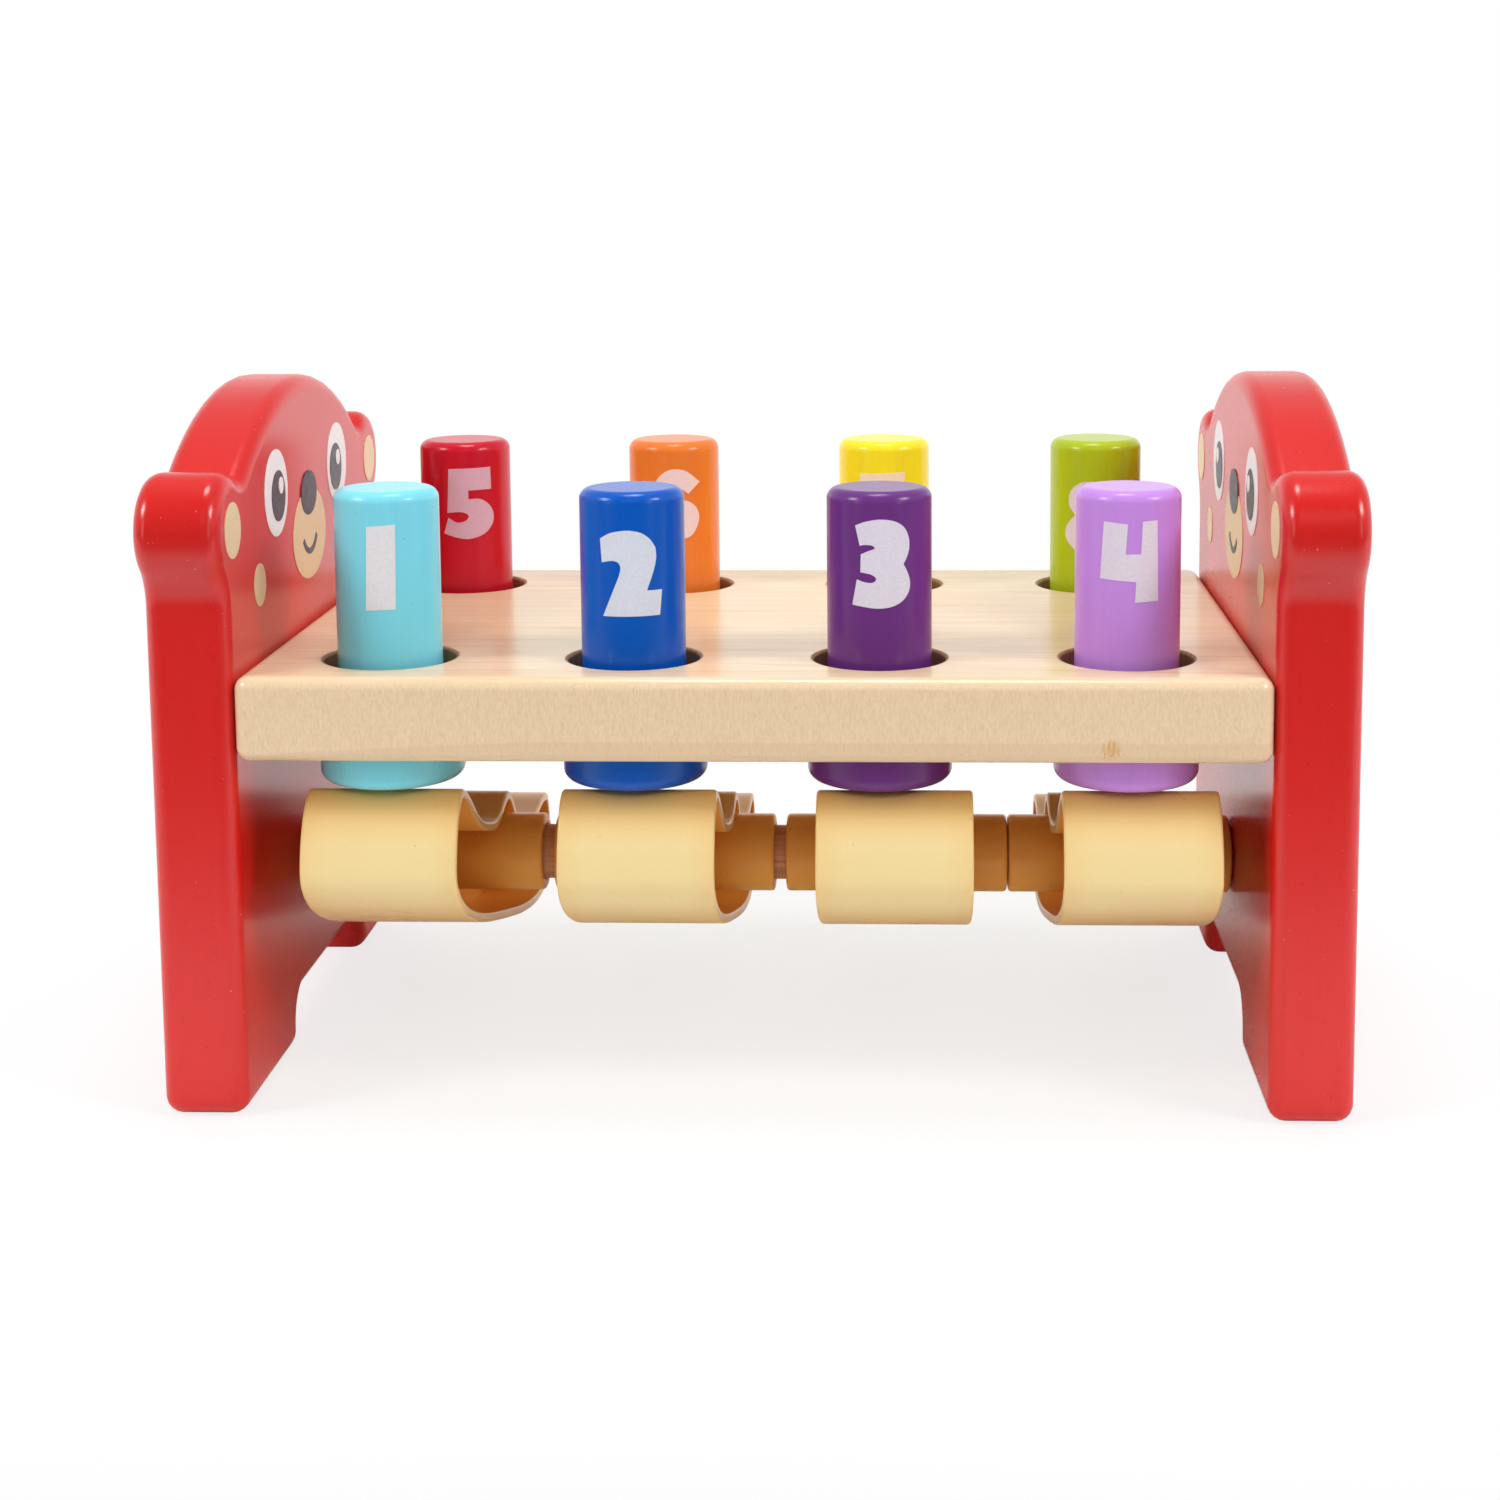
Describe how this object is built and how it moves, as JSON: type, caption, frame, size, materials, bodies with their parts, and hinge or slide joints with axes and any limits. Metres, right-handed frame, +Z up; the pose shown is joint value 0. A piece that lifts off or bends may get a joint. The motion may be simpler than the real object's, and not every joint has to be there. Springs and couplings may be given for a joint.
{
  "type": "pounding bench toy",
  "caption": "Wooden pounding bench with head-shaped end panels; numbered pegs in two rows slide through the board, and plastic rockers on an axle below lift the partner of a peg knocked down.",
  "frame": {"origin": "on the floor under the middle of the board", "axes": "+X along the board, to the right seen from the front; -Y to the front; +Z up"},
  "size_m": [0.238, 0.144, 0.144],
  "materials": {
    "board_wood": "clear satin lacquer on pale wood",
    "red_paint": "satin paint on wood",
    "axle_wood": "bare brown wood",
    "rocker_plastic": "smooth moulded",
    "turquoise_paint": "satin paint on wood",
    "blue_paint": "satin paint on wood",
    "purple_paint": "satin paint on wood",
    "lilac_paint": "satin paint on wood",
    "crimson_paint": "satin paint on wood",
    "orange_paint": "satin paint on wood",
    "yellow_paint": "satin paint on wood",
    "lime_paint": "satin paint on wood",
    "screw_steel": "plain steel",
    "dowel_wood": "bare wood",
    "white_print": "printed film",
    "dark_print": "printed film",
    "tan_print": "printed film"
  },
  "bodies": {
    "bench": {"board": "board_wood", "left_panel": "red_paint", "right_panel": "red_paint", "axle": "axle_wood", "left_screws": "screw_steel", "right_screws": "screw_steel", "left_locating_dowels": "dowel_wood", "right_locating_dowels": "dowel_wood", "left_screw_caps": "red_paint", "right_screw_caps": "red_paint"},
    "rocker_1": {"rocker_1": "rocker_plastic"},
    "rocker_2": {"rocker_2": "rocker_plastic"},
    "rocker_3": {"rocker_3": "rocker_plastic"},
    "rocker_4": {"rocker_4": "rocker_plastic"},
    "peg_1": {"peg_1": "turquoise_paint"},
    "peg_2": {"peg_2": "blue_paint"},
    "peg_3": {"peg_3": "purple_paint"},
    "peg_4": {"peg_4": "lilac_paint"},
    "peg_5": {"peg_5": "crimson_paint"},
    "peg_6": {"peg_6": "orange_paint"},
    "peg_7": {"peg_7": "yellow_paint"},
    "peg_8": {"peg_8": "lime_paint"}
  },
  "joints": [
    {"name": "rocker_1_tilt", "type": "hinge", "parent": "bench", "child": "rocker_1", "pos_m": [-0.07495, 0, 0.03659], "axis": [1, 0, 0], "range_deg": [0, 30]},
    {"name": "rocker_2_tilt", "type": "hinge", "parent": "bench", "child": "rocker_2", "pos_m": [-0.02345, 0, 0.03659], "axis": [1, 0, 0], "range_deg": [0, 30]},
    {"name": "rocker_3_tilt", "type": "hinge", "parent": "bench", "child": "rocker_3", "pos_m": [0.02805, 0, 0.03659], "axis": [1, 0, 0], "range_deg": [0, 30]},
    {"name": "rocker_4_tilt", "type": "hinge", "parent": "bench", "child": "rocker_4", "pos_m": [0.07725, 0, 0.03659], "axis": [1, 0, 0], "range_deg": [0, 30]},
    {"name": "peg_1_slide", "type": "slide", "parent": "bench", "child": "peg_1", "axis": [0, 0, 1], "range_m": [-0.02865, 0]},
    {"name": "peg_2_slide", "type": "slide", "parent": "bench", "child": "peg_2", "axis": [0, 0, 1], "range_m": [-0.02865, 0]},
    {"name": "peg_3_slide", "type": "slide", "parent": "bench", "child": "peg_3", "axis": [0, 0, 1], "range_m": [-0.02865, 0]},
    {"name": "peg_4_slide", "type": "slide", "parent": "bench", "child": "peg_4", "axis": [0, 0, 1], "range_m": [-0.02865, 0]},
    {"name": "peg_5_slide", "type": "slide", "parent": "bench", "child": "peg_5", "axis": [0, 0, 1], "range_m": [-0.02865, 0]},
    {"name": "peg_6_slide", "type": "slide", "parent": "bench", "child": "peg_6", "axis": [0, 0, 1], "range_m": [-0.02865, 0]},
    {"name": "peg_7_slide", "type": "slide", "parent": "bench", "child": "peg_7", "axis": [0, 0, 1], "range_m": [-0.02865, 0]},
    {"name": "peg_8_slide", "type": "slide", "parent": "bench", "child": "peg_8", "axis": [0, 0, 1], "range_m": [-0.02865, 0]}
  ],
  "couplings": [
    {"joint": "peg_1_slide", "follows": "rocker_1_tilt", "m_per_rad": -0.054679},
    {"joint": "peg_2_slide", "follows": "rocker_2_tilt", "m_per_rad": -0.054679},
    {"joint": "peg_3_slide", "follows": "rocker_3_tilt", "m_per_rad": -0.054679},
    {"joint": "peg_4_slide", "follows": "rocker_4_tilt", "m_per_rad": -0.054679}
  ]
}
